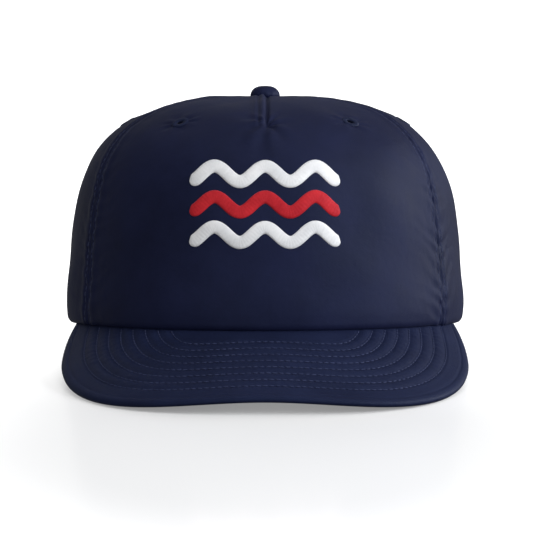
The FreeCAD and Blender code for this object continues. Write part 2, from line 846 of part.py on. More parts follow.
prong_head = f"(dims.button_height - 0.1 - {skin} - {metal})"
backing_top = -(tape_in + float(lift) + 0.1)
shank = "dims.prong_radius"
parts["button_prong"] = turned(
    "button_prong_body",
    [
        ("0", f"{backing_top} - dims.backing_thickness"),
        (shank, f"{backing_top} - dims.backing_thickness"),
        (shank, f"{prong_head} - 1.8"),
        (f"{shank} * 2", f"{prong_head} - 1.8"),
        (f"{shank} * 2", f"{prong_head} - 0.75"),
        ("0", f"{prong_head} - 0.75"),
    ],
)
parts["button_backing"] = turned(
    "button_backing_body",
    [
        (f"{shank} + 0.05", f"{backing_top} - dims.backing_thickness"),
        ("dims.backing_radius", f"{backing_top} - dims.backing_thickness"),
        ("dims.backing_radius", f"{backing_top}"),
        (f"{shank} + 0.05", f"{backing_top}"),
    ],
)
for name in ("button_prong", "button_backing"):
    parts[name].Placement = button_base

# ---------------------------------------------------------------- front emblem: three plain waves


def wave_prism(name, middle):
    """A round-ended wavy stroke on the front, run out to the front."""
    half, stroke, rise = dim("emblem_width") / 2, dim("emblem_stroke"), dim("emblem_wave")
    steps = 24
    upper, lower = [], []
    for i in range(steps + 1):
        x = -half + 2 * half * i / steps
        turn = 3 * math.pi * x / half
        z = middle + rise * math.cos(turn)
        grade = -rise * math.sin(turn) * 3 * math.pi / half
        size = math.hypot(1, grade)
        offset = Vector(-grade / size, 0, 1 / size) * stroke
        upper.append(Vector(x, 0, z) + offset)
        lower.append(Vector(x, 0, z) - offset)
    over, under = Part.BSplineCurve(), Part.BSplineCurve()
    over.interpolate(upper)
    under.interpolate(lower)
    left_tip = (upper[0] + lower[0]) / 2 - Vector(stroke, 0, 0)
    right_tip = (upper[-1] + lower[-1]) / 2 + Vector(stroke, 0, 0)
    ends = [Part.Arc(upper[0], left_tip, lower[0]), Part.Arc(upper[-1], right_tip, lower[-1])]
    edges = [curve.toShape() for curve in (over, under, *ends)]
    face = Part.Face(Part.Wire(Part.__sortEdges__(edges)))
    return feature(name, face.extrude(Vector(0, -FAR, 0)))


print_layer = layer("emblem_layer", -dim("emblem_thickness"), 0)
centre, pitch = dim("emblem_centre"), dim("emblem_pitch")
white = fuse("emblem_white_plan", [wave_prism("wave_upper", centre + pitch), wave_prism("wave_lower", centre - pitch)])
parts["emblem_white"] = common("emblem_white_piece", print_layer, white)
parts["emblem_red"] = common("emblem_red_piece", print_layer, wave_prism("wave_middle", centre))

# ---------------------------------------------------------------- stance, checks and files


def stand_up(shapes):
    """The placement that stands the cap on a table, centred over the origin."""
    tip = Placement(Vector(), Rotation(Vector(1, 0, 0), -dim("stance_tilt")))
    points = []
    for shape in shapes:
        points += [tip.multVec(point) for point in shape.tessellate(0.1)[0]]
    middle = (min(p.y for p in points) + max(p.y for p in points)) / 2
    lowest = min(p.z for p in points)
    return Placement(Vector(0, -middle, -lowest), Rotation()).multiply(tip)


def main():
    doc.recompute()
    bad = [o.Name for o in doc.Objects if {"Invalid", "Error"} & set(o.State)]
    if bad:
        raise ValueError(f"these objects failed: {bad}")
    stance = stand_up([piece.Shape for piece in parts.values()])
    print("stance", stance)
    for name, piece in parts.items():
        piece.Label = name
        piece.Placement = stance.multiply(piece.Placement)
    doc.recompute()
    bad = [o.Name for o in doc.Objects if {"Invalid", "Error"} & set(o.State)]
    if bad:
        raise ValueError(f"these objects failed: {bad}")
    os.makedirs("parts", exist_ok=True)
    solid = {n: p.Shape for n, p in parts.items() if not p.Shape.isNull() and p.Shape.Solids}
    bad = [name for name in parts if name not in solid or not solid[name].isValid()]
    if bad:
        raise ValueError(f"these sub-parts have no valid solid: {bad}")
    for name, shape in solid.items():
        shape.exportStep(f"parts/{name}.step")
        print(f"{name}: {len(shape.Solids)} solids, {shape.Volume:.0f} mm3")


main()
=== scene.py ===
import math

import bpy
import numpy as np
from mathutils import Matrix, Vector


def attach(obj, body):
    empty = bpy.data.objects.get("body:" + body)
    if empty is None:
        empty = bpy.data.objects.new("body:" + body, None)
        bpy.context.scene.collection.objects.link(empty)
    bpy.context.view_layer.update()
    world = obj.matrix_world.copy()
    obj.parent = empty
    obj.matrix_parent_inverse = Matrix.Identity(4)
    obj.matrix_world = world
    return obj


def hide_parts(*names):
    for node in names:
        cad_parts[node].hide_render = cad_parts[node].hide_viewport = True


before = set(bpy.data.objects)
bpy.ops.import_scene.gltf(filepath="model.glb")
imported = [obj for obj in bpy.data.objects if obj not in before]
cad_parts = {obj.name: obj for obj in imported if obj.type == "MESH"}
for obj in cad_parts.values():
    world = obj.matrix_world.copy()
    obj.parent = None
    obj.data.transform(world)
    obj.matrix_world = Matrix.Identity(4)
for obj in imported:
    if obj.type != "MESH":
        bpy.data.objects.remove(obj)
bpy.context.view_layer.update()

# %% [markdown]
# # A soft five-panel cap
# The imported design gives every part's place. It is all in metres, +Z up, with the peak towards -Y.
# The cap stands on the two front corners of its peak and the two back corners of its crown, so the
# cap's own level plane, its band, is tipped by a few degrees. Every shape here is worked out in the
# band's frame, in millimetres, and then stood up by one small turn and shift.

MM = 0.001
CROWN_HEIGHT = 109.5
TILT = math.radians(7.76)
STAND_Y, STAND_Z = 30.608, 12.853


def stand(points):
    """Band frame in millimetres to the part's frame in metres: a turn about X, then a shift."""
    x, y, z = points[..., 0], points[..., 1], points[..., 2]
    up = -y * math.sin(TILT) + z * math.cos(TILT) + STAND_Z
    back = y * math.cos(TILT) + z * math.sin(TILT) + STAND_Y
    return np.stack([x, back, up], -1) * MM


# %% [markdown]
# ## Camera, light and floor
# The cap is seen from straight in front, a little from above, through a long lens. Five soft panels
# light it: two on the viewer's right, for the nylon's pale sheen there, one above, one in front and
# one behind that leaves no shine. A dim surround fills the shadows and is seen as plain white. The
# floor glows faintly by the cap and fully away from it, and throws no light back on the cloth. Its
# fainter glow by the cap is painted shade, for the cap's shadow and grey reflection on the floor.

# %% Camera
CAMERA_PITCH = math.radians(8.9)
CAMERA_DISTANCE = 1.6
PIVOT_Y, PIVOT_Z = 0.0298, 0.0635
SENSOR_WIDTH = 36
SEEN_WIDTH = 0.26
aim = Vector((0.0007, 0.0262, 0.0401))
eye = Vector((
    0, PIVOT_Y - CAMERA_DISTANCE * math.cos(CAMERA_PITCH), PIVOT_Z + CAMERA_DISTANCE * math.sin(CAMERA_PITCH)
))
camera_data = bpy.data.cameras.new("camera")
camera_data.lens = SENSOR_WIDTH * CAMERA_DISTANCE / SEEN_WIDTH
camera_data.sensor_width = SENSOR_WIDTH
camera_data.clip_end = 20
camera = bpy.data.objects.new("camera", camera_data)
camera.location = eye
camera.rotation_euler = (aim - eye).to_track_quat("-Z", "Y").to_euler()
bpy.context.scene.collection.objects.link(camera)
bpy.context.scene.camera = camera
print("lens", round(camera_data.lens, 1), "mm")


# %% Lights and floor
CAP_MIDDLE = Vector((0, 0.02, 0.06))


def panel_light(name, place, size, power, colour=(1, 1, 1)):
    """A square soft light that faces the middle of the cap."""
    data = bpy.data.lights.new(name, "AREA")
    data.size = size
    data.energy = power
    data.color = colour
    light = bpy.data.objects.new(name, data)
    light.location = place
    light.rotation_euler = (CAP_MIDDLE - Vector(place)).to_track_quat("-Z", "Y").to_euler()
    bpy.context.scene.collection.objects.link(light)
    return light


COOL_WHITE = (0.95, 0.97, 1)
panel_light("key_light", (0.95, -0.55, 0.5), 0.5, 9.5, COOL_WHITE)
panel_light("top_light", (0.15, -0.2, 1.1), 0.8, 3.5)
panel_light("front_light", (-0.35, -1.5, 0.45), 0.9, 5.5)
panel_light("side_light", (1.0, 0.35, 0.35), 0.5, 6.0, COOL_WHITE)
rear_fill = panel_light("back_light", (-0.35, 1.4, 0.8), 0.8, 9.0)
rear_fill.visible_glossy = False
world = bpy.data.worlds.new("surround")
world.use_nodes = True
air = world.node_tree
surround, backdrop = air.nodes["Background"], air.nodes.new("ShaderNodeBackground")
for sky, strength in ((surround, 0.2), (backdrop, 1.0)):
    sky.inputs["Color"].default_value = (1, 1, 1, 1)
    sky.inputs["Strength"].default_value = strength
seen, blend = air.nodes.new("ShaderNodeLightPath"), air.nodes.new("ShaderNodeMixShader")
air.links.new(seen.outputs["Is Camera Ray"], blend.inputs["Fac"])
air.links.new(surround.outputs[0], blend.inputs[1])
air.links.new(backdrop.outputs[0], blend.inputs[2])
air.links.new(blend.outputs[0], air.nodes["World Output"].inputs["Surface"])
bpy.context.scene.world = world
bpy.context.scene.view_settings.view_transform = "Standard"


def grid_faces(rows, columns, closed_rows=False, closed_columns=False):
    """Quads of a grid of points, that may close on itself either way."""
    i = np.arange(rows if closed_rows else rows - 1)[:, None]
    j = np.arange(columns if closed_columns else columns - 1)[None, :]
    i2, j2 = (i + 1) % rows, (j + 1) % columns
    quads = [i * columns + j, i * columns + j2, i2 * columns + j2, i2 * columns + j]
    return np.stack([np.broadcast_to(q, np.broadcast(i, j).shape) for q in quads], -1).reshape(-1, 4)


def make_mesh(name, points, faces, uv=None, smooth=True):
    """A mesh object from points in metres and faces, with a place per point on a flat pattern."""
    mesh = bpy.data.meshes.new(name)
    faces = [np.asarray(f) for f in (faces if isinstance(faces, list) else [faces])]
    mesh.vertices.add(len(points))
    mesh.vertices.foreach_set("co", np.asarray(points, np.float32).ravel())
    loops = np.concatenate([f.ravel() for f in faces]).astype(np.int32)
    sizes = np.concatenate([np.full(len(f), f.shape[1]) for f in faces]).astype(np.int32)
    mesh.loops.add(len(loops))
    mesh.loops.foreach_set("vertex_index", loops)
    mesh.polygons.add(len(sizes))
    mesh.polygons.foreach_set("loop_start", np.concatenate([[0], np.cumsum(sizes)[:-1]]).astype(np.int32))
    mesh.update(calc_edges=True)
    mesh.polygons.foreach_set("use_smooth", np.full(len(sizes), smooth))
    if uv is not None:
        layer = mesh.uv_layers.new(name="pattern")
        layer.data.foreach_set("uv", np.asarray(uv, np.float32)[loops].ravel())
    mesh.validate()
    made = bpy.data.objects.new(name, mesh)
    bpy.context.scene.collection.objects.link(made)
    return made


def dress(piece, material):
    piece.data.materials.append(material)


def plain_material(name, colour, roughness):
    made = bpy.data.materials.new(name)
    made.use_nodes = True
    shader = made.node_tree.nodes["Principled BSDF"]
    shader.inputs["Base Color"].default_value = (*colour, 1)
    shader.inputs["Roughness"].default_value = roughness
    return made, shader


FLOOR_HALF = 6
corners = FLOOR_HALF * np.array([[-1, -1, 0], [1, -1, 0], [1, 1, 0], [-1, 1, 0]], float)
floor = make_mesh("floor", corners, np.array([[0, 1, 2, 3]]))
floor_material, floor_shader = plain_material("pale_floor", (0.9, 0.9, 0.9), 0.16)
floor_shader.inputs["Specular IOR Level"].default_value = 0.55
floor_shader.inputs["Emission Color"].default_value = (1, 1, 1, 1)
glow = floor_material.node_tree
spot, centred = glow.nodes.new("ShaderNodeTexCoord"), glow.nodes.new("ShaderNodeMapping")
centred.inputs["Location"].default_value = (0, 0.19, 0)
centred.inputs["Scale"].default_value = (1.3, 1, 1)
reach = glow.nodes.new("ShaderNodeVectorMath")
reach.operation = "LENGTH"
glow.links.new(spot.outputs["Object"], centred.inputs["Vector"])
glow.links.new(centred.outputs["Vector"], reach.inputs[0])
# painted shade: the floor's glow is dimmed near the cap, from a quarter up to full, standing in for the cap's
# shadow and grey reflection on the floor
glow_with_painted_shade = glow.nodes.new("ShaderNodeMapRange")
glow_with_painted_shade.interpolation_type = "SMOOTHSTEP"
for label, number in (("From Min", 0.10), ("From Max", 0.32), ("To Min", 0.25), ("To Max", 1.0)):
    glow_with_painted_shade.inputs[label].default_value = number
glow.links.new(reach.outputs["Value"], glow_with_painted_shade.inputs["Value"])
glow.links.new(glow_with_painted_shade.outputs["Result"], floor_shader.inputs["Emission Strength"])
dress(floor, floor_material)
floor.visible_diffuse = floor.visible_glossy = False
print("floor and lights are in")

# %% [markdown]
# ## The crown's form
# Five panels sewn together make one rounded dome. A level slice of it is an oval. Its half width
# follows a superellipse of the height, and its front and back follow two others, so the front
# stands up and the back falls away. The seams run from the button to the band; the two front ones
# bow backwards.


# %% The dome
# half width or length at the foot, how much it tapers, and the superellipse's two powers
SIDE, FRONT, BACK = (97.9, 0.096, 5.46, 2.52), (101.0, 0.14, 4.6, 2.4), (101.0, 0.12, 3.6, 2.2)
CLOTH_THICK = 1.2
NEAR_TOP = 0.9985


def bell(share, foot, taper, height_power, round_power):
    """A superellipse: how far out the crown is, at a share of its height."""
    share = np.clip(share, 0, 1)
    tuck = 1 - 0.030 * np.exp(-share / 0.030)
    return foot * tuck * (1 - share**height_power) ** (1 / round_power) * (1 - taper * share)


def crown(angle, share, inset=0.0):
    """A point of the dome: an oval slice at a share of the height, at an angle from the front
    towards the wearer's left, moved inwards by inset."""
    side = bell(share, *SIDE) - inset
    front, back = bell(share, *FRONT), bell(share, *BACK)
    length, centre = (front + back) / 2 - inset, (back - front) / 2
    x, y, z = np.broadcast_arrays(
        side * np.sin(angle), centre - length * np.cos(angle), share * (CROWN_HEIGHT - inset)
    )
    return np.stack([x, y, z], -1)


def unit(vectors):
    return vectors / np.linalg.norm(vectors, axis=-1, keepdims=True)


def crown_normal(angle, share):
    """The outward direction, from two small steps along the surface."""
    angle, share = np.broadcast_arrays(angle, share)
    share = np.clip(share, 0.001, NEAR_TOP)
    along = crown(angle + 0.01, share) - crown(angle - 0.01, share)
    up = crown(angle, share + 0.001) - crown(angle, share - 0.001)
    return unit(np.cross(along, up))


# each seam's angle, and how far its line bows
SEAMS = {
    "front_left": (math.radians(61), 6.0), "front_right": (math.radians(-61), 6.0),
    "side_left": (math.radians(120.5), 0.0), "side_right": (math.radians(-120.5), 0.0),
    "back_center": (math.pi, 0.0),
}


def seam_angle(name, share, sideways=0.0):
    """Where a seam stands at a share of the height. Seen from above, it is an arc whose chord runs
    out from the button, so its angle is the chord's plus what the arc's sag adds."""
    angle, bow = SEAMS[name]
    foot = crown(np.array(angle), np.array(0.0))
    chord = math.hypot(foot[0], foot[1])
    turn = np.full(np.shape(share), angle)
    for _ in range(4):
        place = crown(turn, share)
        out = np.hypot(place[..., 0], place[..., 1])
        sag = 0.0
        if bow:
            radius = (chord**2 / 4 + bow**2) / (2 * bow)
            sag = np.sqrt(radius**2 - (out - chord / 2) ** 2) - (radius - bow)
        turn = angle + np.arctan2(math.copysign(1, angle) * sag + sideways, out)
    return turn


def ripple(points, size, seed):
    """Smooth random waves in space, about size millimetres long, between about -1 and 1."""
    rng = np.random.default_rng(seed)
    waves = unit(rng.normal(size=(9, 3)))
    waves *= 2 * math.pi / (size * rng.uniform(0.7, 1.5, (9, 1)))
    phases = rng.uniform(0, 2 * math.pi, 9)
    return np.sin(points @ waves.T + phases).sum(-1) / 4.2


def lengths(path):
    """The length of a path of points up to each of them."""
    return np.concatenate([[0], np.cumsum(np.linalg.norm(np.diff(path, axis=0), axis=1))])


def read_off(at, length, path):
    """The points of a path at some lengths along it."""
    return np.stack([np.interp(at, length, column) for column in path.T], -1)


# shares of the height, closer together near the top, and the front profile's length up to each
fine = 0.99998 * (1 - (1 - np.linspace(0, 1, 6000)) ** 3.2)
run = lengths(crown(np.zeros_like(fine), fine))


def shares_along(count):
    """Shares of the height at even steps of the front profile's length."""
    return np.interp(np.linspace(0, run[-1], count), run, fine)


print("profile length", round(run[-1]), "mm")

# %% [markdown]
# ## Sewn cloth is never smooth
# A double seam stands a little proud, its stitches pull small puckers into the panels beside it,
# and nylon keeps soft folds. All of that is one height field over the dome, so that every panel,
# thread, eyelet and decoration that lies on the crown rises and falls with it.

# %% The relief over the crown
SEAM_ROW, HEM_ROW = 2.6, 6.5
EYELETS = {
    "front_left": 37.0, "front_right": -37.0, "side_left": 91.0, "side_right": -91.0,
    "back_left": 148.0, "back_right": -148.0,
}
EYELET_LEVEL = 0.885
DART_LENGTH = 68.0


def bump(distance, width):
    return np.exp(-((distance / width) ** 2))


def relief(angle, share):
    """Millimetres that the cloth stands out from the plain dome: a ridge and a groove at each
    seam, puckers that fade away from it, the dart, a dip at each eyelet, and soft folds."""
    angle, share = np.broadcast_arrays(angle, share)
    place = crown(angle, share)
    out = np.hypot(place[..., 0], place[..., 1]) + 0.01
    height = np.zeros(angle.shape)
    fade_top = np.clip((out - 6) / 16, 0, 1)
    along = np.interp(share, fine, run)
    for number, name in enumerate(SEAMS):
        turn = (angle - seam_angle(name, share) + math.pi) % (2 * math.pi) - math.pi
        gap = np.abs(turn * out + 0.3 * ripple(place, 18, 60 + number))
        side = np.sign(turn)
        bowed = 1.0 if name.startswith("front") else 0.6
        uneven = 0.75 + 0.45 * ripple(place, 12, 70 + number)
        height += fade_top * (0.45 * bump(gap - 4.6, 2.4) + 0.18 * bump(gap - 1.3, 0.6))
        height -= fade_top * uneven * (0.6 * bump(gap, 0.55) + 0.34 * bump(gap - SEAM_ROW, 0.65))
        wave = along / 8.5 + 0.45 * ripple(place, 26, 40 + number) + side * 0.25
        pull = np.sin(2 * math.pi * (wave - gap * 0.05)) + 0.7 * ripple(place, 8, 50 + number)
        calm = 1 - 0.75 * np.clip((share - 0.62) / 0.25, 0, 1)
        height += bowed * fade_top * calm * 0.34 * pull * np.exp(-gap / 8.0) * (1 - 0.6 * bump(gap, 0.8))
    across = place[..., 0]
    front = np.cos(angle) > 0
    in_dart = np.clip((DART_LENGTH - out) / 5, 0, 1) * front * np.clip((out - 5) / 4, 0, 1)
    height += in_dart * (1.0 * bump(across + 1.2, 1.7) + 0.5 * bump(across + 4.6, 1.6))
    height -= in_dart * (1.3 * bump(across - 0.9, 1.0) + 0.3 * bump(across + 3.2, 0.7))
    end = np.hypot(across - 2.4, (out - DART_LENGTH + 3) * 0.8)
    height -= front * 1.5 * bump(end, 2.6)
    spokes = np.arctan2(across - 1.0, out - DART_LENGTH + 4)
    height += front * 0.4 * np.sin(spokes * 7) * bump(np.hypot(across, out - DART_LENGTH) - 7, 6)
    for degrees in EYELETS.values():
        centre = crown(np.array(math.radians(degrees)), np.array(EYELET_LEVEL))
        apart = place - centre
        gap = np.linalg.norm(apart, axis=-1)
        spoke = np.arctan2(apart[..., 2] * 2 + apart[..., 1], apart[..., 0])
        height += 0.3 * np.sin(spoke * 6 + degrees) * bump(gap - 6, 3.5) - 0.45 * bump(gap, 4.6)
    folds = ripple(place, 46, 3) * 0.55 + ripple(place, 24, 4) * 0.22
    sweep = np.sin((place[..., 0] * 0.6 + place[..., 2] + place[..., 1] * 0.4) / 4.6 + ripple(place, 40, 8))
    shoulder = bump(share - 0.83, 0.14) * np.clip(-place[..., 1] / 60, 0, 1)
    folds = folds + 0.10 * sweep * shoulder
    behind = np.clip((np.abs(angle) - 1.5) / 0.2, 0, 1)
    above = share * CROWN_HEIGHT
    hem = 0.5 * bump(above - 1.2, 2.2) - 0.3 * behind * bump(above - HEM_ROW, 1.1)
    return height + folds * np.clip(share / 0.12, 0, 1) * np.clip((1 - share) / 0.01, 0, 1) + hem


def on_crown(angle, share, inset=0.0):
    """A point of the cloth: the dome, moved in by inset and out by the relief."""
    return crown(angle, share, inset) + crown_normal(angle, share) * relief(angle, share)[..., None]


def shell(name, outer, inner, keep=None, uv=None):
    """A closed sheet between two grids of points. keep says which cells are there; each edge of
    what is kept is walled from the outer grid to the inner one."""
    rows, columns = outer.shape[:2]
    quads = grid_faces(rows, columns)
    if keep is None:
        keep = np.ones((rows - 1, columns - 1), bool)
    quads = quads[keep.ravel()]
    count = rows * columns
    edges = np.concatenate([quads[:, [k, (k + 1) % 4]] for k in range(4)])
    key = edges[:, 0].astype(np.int64) * count + edges[:, 1]
    other = edges[:, 1].astype(np.int64) * count + edges[:, 0]
    rim = edges[~np.isin(key, other)]
    walls = np.stack([rim[:, 1], rim[:, 0], rim[:, 0] + count, rim[:, 1] + count], -1)
    faces = np.concatenate([quads, quads[:, ::-1] + count, walls])
    points = np.concatenate([outer.reshape(-1, 3), inner.reshape(-1, 3)])
    used = np.unique(faces)
    renumber = np.zeros(len(points), int)
    renumber[used] = np.arange(len(used))
    pattern = None
    if uv is not None:
        flat = uv.reshape(-1, 2)
        pattern = np.concatenate([flat, flat])[used]
    return make_mesh(name, points[used], renumber[faces], pattern)


def cell_areas(points):
    """The area of each cell of a grid of points, from the cross product of its diagonals."""
    a = points[1:, 1:] - points[:-1, :-1]
    b = points[1:, :-1] - points[:-1, 1:]
    return np.linalg.norm(np.cross(a, b), axis=-1) / 2


def flat_pattern(first, second):
    """A flat place in metres for every point of a grid, from two numbers in millimetres."""
    return np.stack(np.broadcast_arrays(first, second), -1) * MM


probe = relief(np.linspace(-3, 3, 60)[:, None], np.linspace(0.05, 0.95, 40)[None, :])
print("relief from", round(probe.min(), 2), "to", round(probe.max(), 2), "mm")

# %% [markdown]
# ## Finishes
# The cloth is a tight nylon: nearly matt, with a soft sheen at grazing angles, fine crinkles that
# never wash out, and a faint weave. The same three effects are wanted on the crown, the peak and
# the tapes, so each is a node group that gives a colour or a height, and each material sets its
# own values.


# %% Shared effects
def group(name, inputs, outputs):
    """A new shader node group with named number or colour sockets."""
    made = bpy.data.node_groups.new(name, "ShaderNodeTree")
    kinds = {"number": "NodeSocketFloat", "colour": "NodeSocketColor", "vector": "NodeSocketVector"}
    for way, sockets in (("INPUT", inputs), ("OUTPUT", outputs)):
        for label, kind in sockets:
            made.interface.new_socket(label, in_out=way, socket_type=kinds[kind])
    return made, made.nodes.new("NodeGroupInput"), made.nodes.new("NodeGroupOutput")


def node(tree, kind, **values):
    """A node with its settings and input values given by name."""
    made = tree.nodes.new(kind)
    for label, value in values.items():
        if label in made.inputs.keys():
            made.inputs[label].default_value = value
        else:
            setattr(made, label, value)
    return made


def link(tree, start, end):
    tree.links.new(start, end)


def math_output(tree, operation, first, second=None):
    """The output of a Math node that takes one or two other outputs."""
    made = node(tree, "ShaderNodeMath", operation=operation)
    for number, start in enumerate((first, second)):
        if start is not None:
            link(tree, start, made.inputs[number])
    return made.outputs[0]


def crinkle_group():
    """Fine crushed creases: one coarse and one fine noise added together as a height."""
    tree, given, result = group(
        "crinkle", [("Place", "vector"), ("Coarse", "number"), ("Fine", "number")], [("Height", "number")]
    )
    coarse = node(tree, "ShaderNodeTexNoise", Scale=95.0, Detail=3.0, Distortion=0.6)
    fine_one = node(tree, "ShaderNodeTexNoise", Scale=420.0, Detail=4.0)
    link(tree, given.outputs["Place"], coarse.inputs["Vector"])
    link(tree, given.outputs["Place"], fine_one.inputs["Vector"])
    first = math_output(tree, "MULTIPLY", coarse.outputs["Fac"], given.outputs["Coarse"])
    second = math_output(tree, "MULTIPLY", fine_one.outputs["Fac"], given.outputs["Fine"])
    link(tree, math_output(tree, "ADD", first, second), result.inputs["Height"])
    return tree


def shade_group():
    """An uneven dye: a colour that drifts between a deep and a pale tone over the cloth."""
    tree, given, result = group(
        "uneven_dye", [("Place", "vector"), ("Deep", "colour"), ("Pale", "colour"), ("Size", "number")],
        [("Colour", "colour"), ("Mask", "number")],
    )
    cloud = node(tree, "ShaderNodeTexNoise", Detail=5.0, Roughness=0.65)
    link(tree, given.outputs["Place"], cloud.inputs["Vector"])
    link(tree, given.outputs["Size"], cloud.inputs["Scale"])
    spread = node(tree, "ShaderNodeMapRange", **{"From Min": 0.3, "From Max": 0.7})
    link(tree, cloud.outputs["Fac"], spread.inputs["Value"])
    mix = node(tree, "ShaderNodeMix", data_type="RGBA")
    link(tree, spread.outputs["Result"], mix.inputs["Factor"])
    link(tree, given.outputs["Deep"], mix.inputs[6])
    link(tree, given.outputs["Pale"], mix.inputs[7])
    link(tree, mix.outputs[2], result.inputs["Colour"])
    link(tree, spread.outputs["Result"], result.inputs["Mask"])
    return tree


def weave_group():
    """A plain weave on a flat pattern in metres: crossing threads, as the product of two waves."""
    tree, given, result = group(
        "weave", [("Place", "vector"), ("Threads", "number")], [("Height", "number")]
    )
    split = node(tree, "ShaderNodeSeparateXYZ")
    link(tree, given.outputs["Place"], split.inputs[0])
    waves = []
    for axis in ("X", "Y"):
        scaled = math_output(tree, "MULTIPLY", split.outputs[axis], given.outputs["Threads"])
        waves.append(math_output(tree, "SINE", scaled))
    link(tree, math_output(tree, "MULTIPLY", *waves), result.inputs["Height"])
    return tree


CRINKLE, SHADE, WEAVE = crinkle_group(), shade_group(), weave_group()
CREASE_DEPTH, THREAD_DEPTH = 0.0006, 0.00012


def put(tree, which, place, **values):
    """One of the shared effects, at a place, with its values given by name."""
    made = tree.nodes.new("ShaderNodeGroup")
    made.node_tree = which
    link(tree, place, made.inputs["Place"])
    for label, value in values.items():
        made.inputs[label].default_value = value
    return made


def dyed(tree, shader, place, deep, pale, patch, rough=None):
    """Give a shader the uneven dye, and where wanted a roughness that drifts with it."""
    dye = put(tree, SHADE, place, Deep=(*deep, 1), Pale=(*pale, 1), Size=patch)
    link(tree, dye.outputs["Colour"], shader.inputs["Base Color"])
    if rough:
        drift = node(tree, "ShaderNodeMapRange", **{"To Min": rough[0], "To Max": rough[1]})
        link(tree, dye.outputs["Mask"], drift.inputs["Value"])
        link(tree, drift.outputs["Result"], shader.inputs["Roughness"])


def cloth_material(name, deep, pale, roughness, sheen, coarse, fine_creases, threads, patch=28.0):
    """A dyed, woven and creased cloth, from the three shared effects."""
    material, shader = plain_material(name, pale, roughness)
    tree = material.node_tree
    where = tree.nodes.new("ShaderNodeTexCoord")
    dyed(tree, shader, where.outputs["Object"], deep, pale, patch, (roughness - 0.06, roughness + 0.06))
    crease = put(tree, CRINKLE, where.outputs["Object"], Coarse=coarse, Fine=fine_creases)
    weave = put(tree, WEAVE, where.outputs["UV"], Threads=threads)
    first = node(tree, "ShaderNodeBump", Distance=CREASE_DEPTH, Strength=0.55)
    second = node(tree, "ShaderNodeBump", Distance=THREAD_DEPTH, Strength=0.35)
    link(tree, crease.outputs["Height"], first.inputs["Height"])
    link(tree, weave.outputs["Height"], second.inputs["Height"])
    link(tree, first.outputs["Normal"], second.inputs["Normal"])
    link(tree, second.outputs["Normal"], shader.inputs["Normal"])
    shader.inputs["Sheen Weight"].default_value = sheen
    shader.inputs["Sheen Roughness"].default_value = 0.45
    shader.inputs["Sheen Tint"].default_value = (0.62, 0.72, 1, 1)
    shader.inputs["Specular IOR Level"].default_value = 0.14
    shader.inputs["Specular Tint"].default_value = (0.55, 0.68, 1, 1)
    return material


NAVY, NAVY_PALE = (0.0062, 0.0078, 0.027), (0.0105, 0.0132, 0.044)
nylon = cloth_material("navy_nylon", NAVY, NAVY_PALE, 0.5, 0.012, 0.5, 0.22, 9000)
peak_cloth = cloth_material(
    "navy_peak_nylon", (0.0062, 0.009, 0.030), (0.010, 0.0145, 0.046), 0.5, 0.012, 0.32, 0.2, 9000
)
tape_cloth = cloth_material(
    "navy_tape", (0.006, 0.008, 0.02), (0.012, 0.015, 0.034), 0.7, 0.02, 0.1, 0.2, 5200
)
band_cloth = cloth_material(
    "navy_twill_band", (0.008, 0.010, 0.024), (0.016, 0.02, 0.044), 0.75, 0.03, 0.3, 0.35, 4200
)
label_cloth = cloth_material(
    "label_satin", (0.72, 0.72, 0.70), (0.82, 0.82, 0.80), 0.5, 0.1, 0.1, 0.1, 8000
)


def thread_material(name, deep, pale, roughness, sheen, patch):
    """Sewing or embroidery thread: a cloth with hardly any crease."""
    return cloth_material(name, deep, pale, roughness, sheen, 0.1, 0.3, 9000, patch)


thread_look = thread_material("navy_thread", (0.006, 0.0085, 0.026), (0.012, 0.016, 0.045), 0.42, 0.03, 60.0)
seam_thread = thread_material("pale_navy_thread", (0.022, 0.028, 0.07), (0.05, 0.06, 0.13), 0.42, 0.03, 60.0)
white_look = thread_material("white_embroidery", (0.72, 0.73, 0.75), (0.9, 0.9, 0.91), 0.5, 0.1, 90.0)
red_look = thread_material("red_embroidery", (0.42, 0.012, 0.018), (0.62, 0.025, 0.03), 0.5, 0.1, 90.0)
print("cloths:", [m.name for m in bpy.data.materials])

# %% [markdown]
# ## Panels
# Each panel is one sheet of cloth between two seams, 1.2 mm thick with its lining. Its cells over
# an eyelet's vent, and those inside the arched opening at the back, are left out, and the sheet's
# walls follow the edge. A panel's flat size is its own width by the front profile's length.

# %% The arched opening and the five panels
OPEN_HALF, OPEN_STRAIGHT, OPEN_ARCH = 46.0, 20.0, 28.0
VENT_RADIUS = 2.4
PANEL_ROWS = 190


def open_height(across, grow=0.0):
    """The opening's outline, straight up and then a half oval: its height at each place across."""
    share = np.clip(1 - (across / (OPEN_HALF + grow)) ** 2, 0, 1)
    return np.where(share > 0, OPEN_STRAIGHT + (OPEN_ARCH + grow) * np.sqrt(share), -1.0)


